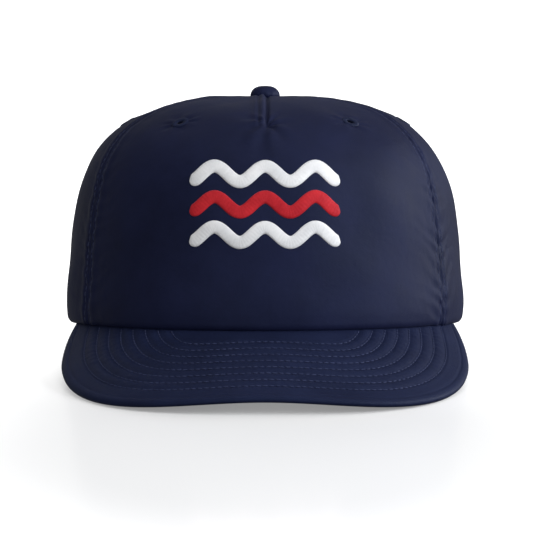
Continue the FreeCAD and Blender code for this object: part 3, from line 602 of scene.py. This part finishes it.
def make_panel(name, first, last, columns=150, waves=1):
    """One panel: rows at even steps up the crown, and columns from seam to seam that stand closer
    together at the seams. With two waves they also stand closer along the middle."""
    share = shares_along(PANEL_ROWS)[:, None]
    left, right = seam_angle(first, share), seam_angle(last, share)
    if last == "back_center" and first.endswith("right"):
        right = -right
    even = np.linspace(0, 1, columns)[None, :]
    crowded = 0.6 / (2 * math.pi * waves)
    mix = even - crowded * np.sin(2 * math.pi * waves * even)
    angle = left + (right - left) * mix
    outer, inner = on_crown(angle, share), on_crown(angle, share, CLOTH_THICK)
    if angle[0, 0] > angle[0, -1]:
        outer, inner, angle = outer[:, ::-1], inner[:, ::-1], angle[:, ::-1]
    middle = (outer[1:, 1:] + outer[:-1, :-1]) / 2
    keep = ~((middle[..., 2] < open_height(middle[..., 0], 2.0)) & (middle[..., 1] > 0))
    for degrees in EYELETS.values():
        turn = np.array(math.radians(degrees))
        centre = on_crown(turn, np.array(EYELET_LEVEL))
        keep &= np.linalg.norm(middle - centre, axis=-1) > VENT_RADIUS
    width = np.linalg.norm(np.diff(outer, axis=1), axis=-1).sum(1)
    pattern = flat_pattern((mix - 0.5) * width[:, None], np.interp(share, fine, run))
    piece = shell(name, stand(outer), stand(inner), keep, pattern)
    dress(piece, nylon)
    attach(piece, "crown")
    return piece


front_cloth = make_panel("front_cloth", "front_right", "front_left", 245, 2)
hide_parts("front_panel")
for hand in ("left", "right"):
    side_cloth = make_panel(f"side_cloth_{hand}", f"front_{hand}", f"side_{hand}")
    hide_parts(f"side_panel_{hand}")
for hand in ("left", "right"):
    back_cloth = make_panel(f"back_cloth_{hand}", f"side_{hand}", "back_center")
    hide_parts(f"back_panel_{hand}")

# %% [markdown]
# ## Stitches
# A row of machine stitching is hundreds of short threads, each half sunk in the cloth. One stitch
# is a small long egg of a few dozen faces; a row places a copy of it at even steps, turned along
# the row and laid flat on the cloth.


# %% Laying stitches
def egg(across=5, along=6):
    """A unit long ball: rings of points round X, closed at both ends."""
    turn = np.linspace(0, 2 * math.pi, across, endpoint=False)
    slide = np.linspace(0, math.pi, along)
    x = -np.cos(slide)[:, None] * np.ones(across)[None, :]
    r = np.sin(slide)[:, None] ** 0.7
    points = np.stack([x, r * np.cos(turn), r * np.sin(turn)], -1)[1:-1].reshape(-1, 3)
    ring = grid_faces(along - 2, across, closed_columns=True)
    tips = np.array([[-1, 0, 0], [1, 0, 0]], float)
    a, b = len(points), len(points) + 1
    j = np.arange(across)
    low = np.stack([np.full(across, a), (j + 1) % across, j], -1)
    top = (along - 3) * across
    high = np.stack([np.full(across, b), top + j, top + (j + 1) % across], -1)
    return np.concatenate([points, tips]), ring, np.concatenate([low, high])


EGG_POINTS, EGG_QUADS, EGG_TIPS = egg()


def spaced(path, pitch):
    """Places at even steps along a path of points, with the direction of the path there."""
    length = lengths(path)
    count = max(int(length[-1] / pitch), 1)
    at = (np.arange(count) + 0.5) * length[-1] / count
    behind, places, ahead = (read_off(at + step, length, path) for step in (-0.4, 0, 0.4))
    return places, ahead - behind, at


def lay_stitches(name, rows, material, length=2.3, width=0.55, height=0.42):
    """One mesh of stitches. rows is a list of (places, directions, normals) in millimetres."""
    places, along, up = (np.concatenate([row[k] for row in rows]) for k in range(3))
    along = unit(along)
    side = unit(np.cross(up, along))
    up = np.cross(along, side)
    size = EGG_POINTS * np.array([length / 2, width / 2, height / 2])
    points = places[:, None] + size[:, :1] * along[:, None] + size[:, 1:2] * side[:, None]
    points = points + size[:, 2:] * up[:, None]
    step = np.arange(len(places))[:, None, None] * len(EGG_POINTS)
    quads = (EGG_QUADS[None] + step).reshape(-1, 4)
    tips = (EGG_TIPS[None] + step).reshape(-1, 3)
    flat = points.reshape(-1, 3)
    made = make_mesh(name, stand(flat), [quads, tips], flat[:, :2] * MM)
    dress(made, material)
    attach(made, "crown")
    print(name, len(places), "stitches")
    return made


# %% Double rows beside every crown seam
def cloth_row(path, angle, share, pitch, lift=0.0):
    """A row along a path over the crown, whose points have these angles and shares."""
    places, along, at = spaced(path, pitch)
    length = lengths(path)
    up = crown_normal(np.interp(at, length, angle), np.interp(at, length, share))
    return places + up * lift, along, up


def crown_row(name, sideways, low):
    """A row beside a seam: the seam's own line, moved sideways by a fixed distance."""
    share = shares_along(500)
    share = share[(share > low) & (share < NEAR_TOP)]
    angle = seam_angle(name, share, sideways)
    return cloth_row(on_crown(angle, share), angle, share, 3.0, 0.05)


crown_rows = []
for seam in SEAMS:
    low = 0.50 if seam == "back_center" else 0.012
    crown_rows += [crown_row(seam, sideways, low) for sideways in (SEAM_ROW, -SEAM_ROW)]
top_stitches = lay_stitches("crown_stitches", crown_rows, seam_thread)
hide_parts("crown_topstitching")


def hem_row(start, stop):
    """A row round the foot of the crown, between two angles."""
    angle = np.radians(np.linspace(start, stop, 600))
    share = np.full(angle.shape, HEM_ROW / CROWN_HEIGHT)
    return cloth_row(on_crown(angle, share), angle, share, 3.2)


lay_stitches("hem_stitches", [hem_row(92, 150), hem_row(-150, -92)], thread_look, 2.3, 0.5, 0.36)

# %% [markdown]
# ## Peak
# A stiff board between two cloths, curved sideways so that its root meets the crown's edge all the
# way round. Its height is a slope forwards plus an arch across. Eight rows of stitching follow the
# rim; each pulls a narrow channel into the cloth and leaves it puffed between the rows. At the rim
# the upper cloth wraps over and is turned under.

# %% The peak's outline and height
PEAK_SLOPE = math.tan(math.radians(23.5))
PEAK_HALF, PEAK_REACH, PEAK_WIDEST = 95.0, 60.5, -23.0
PEAK_THICK = 3.0
ROOT_DEGREES = 74
FIRST_ROW, ROW_STEP, ROW_COUNT = 10.5, 5.7, 8
PUFF_START, PUFF_STOP = 8, 53
base = crown(np.array([math.pi / 2, 0.0]), np.array([0.0, 0.0]))
SEAT_HALF, SEAT_LENGTH = float(base[0, 0]), -float(base[1, 1])


def peak_height(x, ahead):
    """Slope forwards, and arch across; the arch opens out as it goes forward."""
    bend = SEAT_HALF**2 / (SEAT_LENGTH * PEAK_SLOPE) * (1 + ahead / (2 * SEAT_LENGTH))
    bend = bend * (1 - 0.12 * np.maximum(ahead, 0) / PEAK_REACH)
    return -PEAK_SLOPE * ahead - x * x / (2 * bend)


def peak_rim(count):
    """The outline from above, (x, ahead): a superellipse in front, and sides that draw in to the
    corners, from the wearer's right corner round to the left one, at even steps."""
    turn = np.linspace(0, math.pi / 2, 900)
    x = PEAK_HALF * np.sin(turn) ** (2 / 2.95)
    ahead = PEAK_WIDEST + (PEAK_REACH - PEAK_WIDEST) * np.cos(turn) ** (2 / 2.15)
    corner = math.radians(ROOT_DEGREES)
    corner_x, corner_ahead = SEAT_HALF * math.sin(corner), -SEAT_LENGTH * (1 - math.cos(corner))
    share = np.linspace(0, 1, 300)[1:]
    x = np.concatenate([x, PEAK_HALF - (PEAK_HALF - corner_x) * share**2])
    ahead = np.concatenate([ahead, PEAK_WIDEST + (corner_ahead - PEAK_WIDEST) * share])
    line = np.stack([np.concatenate([-x[:0:-1], x]), np.concatenate([ahead[:0:-1], ahead])], -1)
    length = lengths(line)
    return read_off(np.linspace(0, length[-1], count), length, line)


RIM = peak_rim(1400)


def from_rim(x, ahead):
    """Distance inwards from the rim, to the nearest of many points on it."""
    best = np.full(x.shape, 1e9)
    for part in np.array_split(RIM, 40):
        gap = np.hypot(x[..., None] - part[:, 0], ahead[..., None] - part[:, 1]).min(-1)
        best = np.minimum(best, gap)
    return best


ROW_INSETS = FIRST_ROW + ROW_STEP * np.arange(ROW_COUNT)


def quilting(x, ahead, gap):
    """The cloth's height over the board: a channel at each row, a soft puff between rows, small
    dimples along each channel, and the fold of the rim's turned edge."""
    height = np.zeros(x.shape)
    for inset in ROW_INSETS:
        height -= 0.42 * bump(gap - inset, 0.75)
    inside = np.clip((gap - PUFF_START) / 3, 0, 1) * np.clip((PUFF_STOP - gap) / 3, 0, 1)
    height += inside * 0.16 * (1 + np.cos(2 * math.pi * (gap - FIRST_ROW - ROW_STEP / 2) / ROW_STEP))
    places = np.stack([x, -SEAT_LENGTH - ahead, np.zeros_like(x)], -1)
    height += inside * 0.09 * ripple(places, 4.2, 21) + 0.12 * ripple(places, 30, 22) * np.clip(gap / 8, 0, 1)
    height -= 0.32 * bump(gap - 3.4, 0.55)
    return height + 0.12 * bump(gap - 2.2, 1.0)


# %% The peak's two cloths, closed round the board
def make_peak():
    """Rows run from the crown over the top to the rim, round it, and back underneath."""
    columns, rows = 330, 84
    rim = peak_rim(columns)
    turn = np.radians(np.linspace(-ROOT_DEGREES, ROOT_DEGREES, 4000))
    arc = np.stack([SEAT_HALF * np.sin(turn), -SEAT_LENGTH * (1 - np.cos(turn))], -1)
    length = np.linspace(0, 1, len(arc))
    share = np.linspace(0, 1, columns)
    root = read_off(share, length, arc)
    root[:, 0] *= 0.992
    root[:, 1] -= 0.9 * np.cos(np.radians(np.linspace(-ROOT_DEGREES, ROOT_DEGREES, columns)))
    out = np.linspace(0, 1, rows)[:, None, None] ** 0.9
    half = PEAK_THICK / 2
    flat = root[None] + (rim[None] - root[None]) * out
    x, ahead = flat[..., 0], flat[..., 1]
    gap = from_rim(x, ahead)
    lift = quilting(x, ahead, gap)
    roll = np.where(gap < half, half - np.sqrt(np.clip(half**2 - (half - gap) ** 2, 0, None)), 0)
    z = peak_height(x, ahead)
    clear = np.hypot(x / SEAT_HALF, (SEAT_LENGTH + ahead) / SEAT_LENGTH) - 1
    top = np.stack([x, -SEAT_LENGTH - ahead, z + lift * np.clip(clear / 0.02, 0, 1) - roll - 0.05], -1)
    from_row = (gap - FIRST_ROW + ROW_STEP / 2) % ROW_STEP - ROW_STEP / 2
    under_lift = 0.16 * bump(from_row, 0.7) * (gap > PUFF_START) * (gap < PUFF_STOP)
    under = np.stack([x, -SEAT_LENGTH - ahead, z - PEAK_THICK + roll + under_lift], -1)
    loop = np.concatenate([top, under[::-1][1:]])
    distance = np.concatenate([gap, -gap[::-1][1:]])
    along = np.linspace(-0.2, 0.2, columns)[None] * np.ones((len(loop), 1))
    pattern = np.stack([along, distance * MM], -1)
    faces = grid_faces(len(loop), columns, closed_rows=True)
    return loop, faces, pattern, cell_areas(top).sum()


peak_points, peak_faces, peak_pattern, peak_area = make_peak()
count = peak_points.shape[1]
ring = np.arange(len(peak_points)) * count
peak_skin = make_mesh(
    "peak_cloth", stand(peak_points.reshape(-1, 3)),
    [peak_faces[:, ::-1], ring[None, :], (ring + count - 1)[None, ::-1]], peak_pattern.reshape(-1, 2),
)
dress(peak_skin, peak_cloth)
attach(peak_skin, "crown")
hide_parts("peak_top_cover", "peak_under_cover", "peak_board")
print("peak cloth", len(peak_skin.data.polygons), "faces, upper area", round(peak_area / 100), "cm2")


# %% Eight rows of stitches, above and below
def peak_row(inset, under=False):
    """The rim's line moved inwards along its own normals, kept where it is clear of the crown."""
    step = unit(np.gradient(RIM, axis=0))
    line = RIM + np.stack([step[:, 1], -step[:, 0]], -1) * inset
    clear = np.hypot(line[:, 0] / (SEAT_HALF + 0.8), (SEAT_LENGTH + line[:, 1]) / (SEAT_LENGTH + 0.8)) > 1
    line = line[clear & (from_rim(line[:, 0], line[:, 1]) > inset - 0.3)]
    path = np.stack([line[:, 0], -SEAT_LENGTH - line[:, 1], np.zeros(len(line))], -1)
    places, along, _ = spaced(path, 2.9)
    x, ahead = places[:, 0], -SEAT_LENGTH - places[:, 1]

    def level(px, pa):
        return peak_height(px, pa) - (PEAK_THICK if under else 0)

    places[:, 2] = level(x, ahead) + (0.02 if under else -0.24)
    across = level(x + 0.5, ahead) - level(x - 0.5, ahead)
    forward = -(level(x, ahead + 0.5) - level(x, ahead - 0.5))
    up = unit(np.stack([-across, -forward, np.ones_like(x)], -1))
    along[:, 2] = -(along[:, 0] * up[:, 0] + along[:, 1] * up[:, 1]) / up[:, 2]
    return places, along, up


above, below = ([peak_row(inset, under) for inset in ROW_INSETS] for under in (False, True))
peak_stitches = lay_stitches("peak_stitches", above, seam_thread, 2.2, 0.6, 0.5)
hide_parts("peak_stitching")
lay_stitches("peak_under_stitches", below, thread_look, 2.2, 0.5, 0.4)

# %% [markdown]
# ## Tapes, binding and sweatband
# Inside, a narrow tape covers each seam. A folded tape binds the arched opening. The sweatband is
# a soft twill band round the foot of the crown, lightly padded, that stops at the opening's sides.


# %% Seam tapes
TAPE_WIDTH = 12


def make_tape(name):
    """A strip along a seam, from the button down to the sweatband's top or the opening."""
    low = 0.53 if name == "back_center" else 0.06
    share = shares_along(120)
    share = share[(share > low) & (share < 0.9984)][:, None]
    across = np.linspace(TAPE_WIDTH / 2, -TAPE_WIDTH / 2, 9)[None, :]
    turn = seam_angle(name, share, across)
    outer, inner = on_crown(turn, share, 1.25), on_crown(turn, share, 1.9)
    puff = (0.25 * bump(across - 4.6, 1.0) + 0.25 * bump(across + 4.6, 1.0)) * np.ones_like(share)
    inner = inner - crown_normal(turn, share) * (0.25 - puff)[..., None]
    length = np.interp(share, fine, run)
    pattern = flat_pattern(across, length)
    piece = shell(f"tape_{name}", stand(outer[:, ::-1]), stand(inner[:, ::-1]), None, pattern[:, ::-1])
    dress(piece, tape_cloth)
    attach(piece, "crown")
    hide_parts(f"seam_tape_{name}")


for seam in SEAMS:
    make_tape(seam)


# %% The opening's folded binding
def front_place(x, z):
    """The angle and share of a point on the crown's front, at a place across and a height."""
    share = z / CROWN_HEIGHT
    return np.arcsin(np.clip(x / bell(share, *SIDE), -1, 1)), share


def back_place(x, z):
    """The same on the crown's back."""
    angle, share = front_place(x, z)
    return math.pi - angle, share


def make_binding():
    """A flat loop of section carried along the opening's outline: over the outside, round the
    edge and back along the inside."""
    turn = np.linspace(0, math.pi, 150)
    x = np.concatenate([np.full(30, OPEN_HALF), OPEN_HALF * np.cos(turn)[1:-1], np.full(30, -OPEN_HALF)])
    straight = np.linspace(0.4, OPEN_STRAIGHT, 30)
    z = np.concatenate([straight, OPEN_STRAIGHT + OPEN_ARCH * np.sin(turn)[1:-1], straight[::-1]])
    slope = unit(np.stack([np.gradient(x), np.gradient(z)], -1))
    outwards = np.stack([slope[:, 1], -slope[:, 0]], -1)
    across = np.array([6, 5.2, 4.4, 3, 1.5, 0.2, -0.4, -0.7, -0.8, -0.7, -0.4, 0, 1.5, 3, 4.4, 5.2, 6])
    depth = np.array([-0.25, -0.5, -0.42, -0.6, -0.6, -0.4, -0.15, 0.2, 0.6, 1.2, 1.65, *[1.75] * 5, 1.3])
    gx = x[:, None] + outwards[:, :1] * across[None]
    gz = np.clip(z[:, None] + outwards[:, 1:] * across[None], 0.05, None)
    angle, share = back_place(gx, gz)
    normal = crown_normal(angle, share)
    points = crown(angle, share) + normal * (relief(angle, share) * 0.5 - depth[None, :])[..., None]
    steps, sides = points.shape[:2]
    faces = grid_faces(steps, sides, closed_columns=True)
    first = np.arange(sides)
    last = first + (steps - 1) * sides
    run_on = np.concatenate([[0], np.cumsum(np.hypot(np.diff(x), np.diff(z)))])
    pattern = flat_pattern(across, run_on[:, None])
    made = make_mesh("binding_tape", stand(points.reshape(-1, 3)),
                     [faces, first[None, ::-1], last[None, :]], pattern.reshape(-1, 2))
    dress(made, tape_cloth)
    row = 4.6
    rx, rz = x + outwards[:, 0] * row, z + outwards[:, 1] * row
    ra, rs = back_place(rx, rz)
    path = crown(ra, rs) + crown_normal(ra, rs) * (relief(ra, rs) * 0.5 + 0.5)[:, None]
    return made, cloth_row(path, ra, rs, 3.0)


binding, binding_row = make_binding()
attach(binding, "crown")
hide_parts("opening_binding")
lay_stitches("binding_stitches", [binding_row], thread_look, 2.2, 0.5, 0.4)
print("binding", len(binding.data.polygons), "faces")

# %% The sweatband and its label
BAND_OUT, BAND_THICK, BAND_HIGH = 4.9, 1.6, 34.0
BAND_RADIUS = 94.0
LABEL_HALF_TURN = 0.185


def band_sheet(name, start, stop, low, high, inset, thick, columns, rows, swell):
    """A closed strip inside the crown between two angles and two heights, swollen inwards away
    from its stitched edges."""
    angle = np.linspace(start, stop, columns)[None, :]
    z = np.linspace(low, high, rows)[:, None]
    share = z / (CROWN_HEIGHT - inset)
    rise = (z - low) / (high - low)
    outer = crown(angle, share, inset)
    edge = np.clip(np.minimum(rise * (high - low), (1 - rise) * (high - low)) / 1.2, 0, 1) ** 0.5
    body = outer - crown_normal(angle, share) * (thick * edge + swell(angle, z))[..., None]
    pattern = flat_pattern(angle * BAND_RADIUS, z)
    return shell(name, stand(outer), stand(body), None, pattern), cell_areas(outer).sum() * MM * MM


def band_swell(angle, z):
    """Soft padding: a low swell along the middle, gentle ripples, and a stitched groove below."""
    place = crown(angle, z / CROWN_HEIGHT)
    lean = 0.32 * ripple(place, 16, 31) + 0.15 * ripple(place, 7, 32)
    return 0.5 * bump(z - 19, 11) + lean * bump(z - 17, 13) - 0.7 * bump(z - 5.0, 0.9)


side_at_band = math.asin(48.5 / 91.0)
band_stop = math.pi - side_at_band
sweatband, band_area = band_sheet("sweatband_twill", -band_stop, band_stop, 0.5, BAND_HIGH, BAND_OUT,
                                  BAND_THICK, 420, 34, band_swell)
dress(sweatband, band_cloth)
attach(sweatband, "crown")
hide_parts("sweatband")
label, label_area = band_sheet(
    "blank_label", math.pi / 2 - LABEL_HALF_TURN, math.pi / 2 + LABEL_HALF_TURN, 9.0, 25.0,
    BAND_OUT + BAND_THICK + 1.0, 0.45, 40, 22,
    lambda angle, z: 0.5 * bump(z - 11, 4) + 0.25 * np.sin(angle * 40),
)
dress(label, label_cloth)
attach(label, "crown")
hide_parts("care_label")
print("sweatband", round(band_area * 1e4), "cm2; label", round(label_area * 1e4, 1), "cm2")

# %% [markdown]
# ## Button and eyelets
# The button is a metal shell covered in the cap's own cloth, gathered under its rim. Each eyelet
# is a ring of satin stitch: a round lip whose threads run from its outside to the vent.


# %% The covered button
BUTTON_SINK = 0.7


def make_button():
    """A turned profile, radius against height, with gathers that deepen towards the rim."""
    sides = 96
    turn = np.linspace(0, 2 * math.pi, sides, endpoint=False)[None, :]
    radius = np.array([0.01, 1.5, 3.0, 4.4, 5.6, 6.4, 6.95, 7.15, 7.1, 6.7, 5.8, 4.0, 0.01])[:, None]
    height = np.array([5.85, 5.8, 5.6, 5.15, 4.4, 3.5, 2.5, 1.5, 0.7, 0.1, -0.3, -0.6, -0.8])[:, None]
    gathers = 0.13 * np.sin(turn * 17 + np.sin(turn * 3)) * bump(height - 0.8, 1.6)
    wrinkle = 0.08 * np.sin(turn * 5 + height) * bump(height - 3.4, 1.5)
    wide = radius + (gathers + wrinkle) * (radius > 1)
    level = CROWN_HEIGHT + height - BUTTON_SINK
    points = np.stack(np.broadcast_arrays(wide * np.cos(turn), wide * np.sin(turn), level), -1)
    faces = grid_faces(len(radius), sides, closed_columns=True)
    top = np.arange(sides)
    foot = top + (len(radius) - 1) * sides
    return make_mesh("button_cloth", stand(points.reshape(-1, 3)),
                     [faces[:, ::-1], top[None, :], foot[None, ::-1]], points[..., :2].reshape(-1, 2) * MM)


button = make_button()
dress(button, nylon)
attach(button, "crown")
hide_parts("button_cover", "button_shell")
print("button", len(button.data.polygons), "faces")


# %% Six satin-stitched eyelets
def make_eyelet(name, degrees):
    """A ring with a rounded section, ridged by its threads, set square to the cloth."""
    turn_to, level = np.array(math.radians(degrees)), np.array(EYELET_LEVEL)
    centre, up = on_crown(turn_to, level), crown_normal(turn_to, level)
    side = unit(np.cross([0, 0, 1], up))
    lift = np.cross(up, side)
    around = np.linspace(0, 2 * math.pi, 288, endpoint=False)[:, None]
    section = np.linspace(0, 2 * math.pi, 16, endpoint=False)[None, :]
    ridge = 0.10 * np.abs(np.sin(around * 24)) * (np.sin(section) > -0.2)
    out = 2.95 + (1.32 + ridge * 0.5) * np.cos(section) + 0.07 * np.sin(around * 9)
    rise = 0.15 + (0.72 + ridge) * np.sin(section)
    points = centre + (out * np.cos(around))[..., None] * side + (out * np.sin(around))[..., None] * lift
    points = points + rise[..., None] * up
    pattern = flat_pattern(around * 3, section)
    faces = grid_faces(*out.shape, closed_rows=True, closed_columns=True)
    ring = make_mesh(f"eyelet_ring_{name}", stand(points.reshape(-1, 3)), faces, pattern.reshape(-1, 2))
    dress(ring, thread_look)
    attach(ring, "crown")
    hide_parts(f"eyelet_{name}")


for name, degrees in EYELETS.items():
    make_eyelet(name, degrees)
print(len(EYELETS), "eyelets")

# %% [markdown]
# ## Front decoration
# Three plain waves of raised satin stitch, white, red and white. Each wave is a band of threads
# laid across its own line, highest along the middle, and it lies on the cloth's relief.


# %% Three waves
WAVE_REACH, WAVE_HALF, WAVE_RISE = 35, 3.0, 3.5


def wave_band(middle):
    """Points of one wave: along its line and across it, with rounded ends and thread ridges."""
    x = np.linspace(-WAVE_REACH, WAVE_REACH, 700)[:, None]
    side = np.linspace(-1, 1, 15)[None, :]
    phase = 3 * math.pi * x / WAVE_REACH
    grade = -WAVE_RISE * np.sin(phase) * 3 * math.pi / WAVE_REACH
    size = np.sqrt(1 + grade**2)
    past = np.clip(np.abs(x) - (WAVE_REACH - WAVE_HALF), 0, None) / WAVE_HALF
    half = WAVE_HALF * np.sqrt(np.clip(1 - past**2, 0.02, 1))
    px = x - grade / size * side * half
    pz = middle + WAVE_RISE * np.cos(phase) + side * half / size
    angle, share = front_place(px, pz)
    thread = 0.06 * np.abs(np.sin(x / 0.55 * math.pi / 2 + side * 0.6))
    rise = (0.75 * np.sqrt(np.clip(1 - side**2, 0, 1)) + thread) * np.sqrt(half / WAVE_HALF)
    normal = crown_normal(angle, share)
    ground = on_crown(angle, share)
    return ground + normal * rise[..., None], ground - normal * 0.4, flat_pattern(x, side * half)


def make_wave(name, middles, material, replaced):
    for number, middle in enumerate(middles):
        top, foot, pattern = wave_band(middle)
        piece = shell(f"{name}_{number}", stand(top[:, ::-1]), stand(foot[:, ::-1]), None, pattern[:, ::-1])
        dress(piece, material)
        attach(piece, "crown")
    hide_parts(replaced)


make_wave("white_wave", (72.0, 44.0), white_look, "emblem_white")
make_wave("red_wave", (58.0,), red_look, "emblem_red")

# %% [markdown]
# ## Plastic strap and metal
# The snap strap and the button's metal keep the shapes of the design. The strap is a soft moulded
# plastic: smooth, a little waxy, with fine scuffs. The metal under the button is plain and worn.


# %% Finishes for the designed parts
def designed(name, material):
    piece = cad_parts[name]
    piece.data.materials.clear()
    dress(piece, material)


def moulded_plastic():
    material, shader = plain_material("navy_plastic", (0.008, 0.011, 0.03), 0.35)
    tree = material.node_tree
    place = tree.nodes.new("ShaderNodeTexCoord").outputs["Object"]
    dyed(tree, shader, place, (0.006, 0.008, 0.022), (0.012, 0.016, 0.040), 45.0, (0.26, 0.48))
    scuffs = put(tree, CRINKLE, place, Coarse=0.2, Fine=0.4)
    height = node(tree, "ShaderNodeBump", Distance=THREAD_DEPTH)
    link(tree, scuffs.outputs["Height"], height.inputs["Height"])
    link(tree, height.outputs["Normal"], shader.inputs["Normal"])
    shader.inputs["Coat Weight"].default_value = 0.15
    return material


def worn_metal():
    material, shader = plain_material("plain_metal", (0.5, 0.5, 0.5), 0.4)
    tree = material.node_tree
    place = tree.nodes.new("ShaderNodeTexCoord").outputs["Object"]
    dyed(tree, shader, place, (0.32, 0.32, 0.33), (0.6, 0.6, 0.6), 300.0)
    shader.inputs["Metallic"].default_value = 1.0
    return material


plastic, metal = moulded_plastic(), worn_metal()
for part in ("hole_strap", "stud_strap", "hole_strap_tab", "stud_strap_tab"):
    designed(part, plastic)
for part in ("button_prong", "button_backing"):
    designed(part, metal)
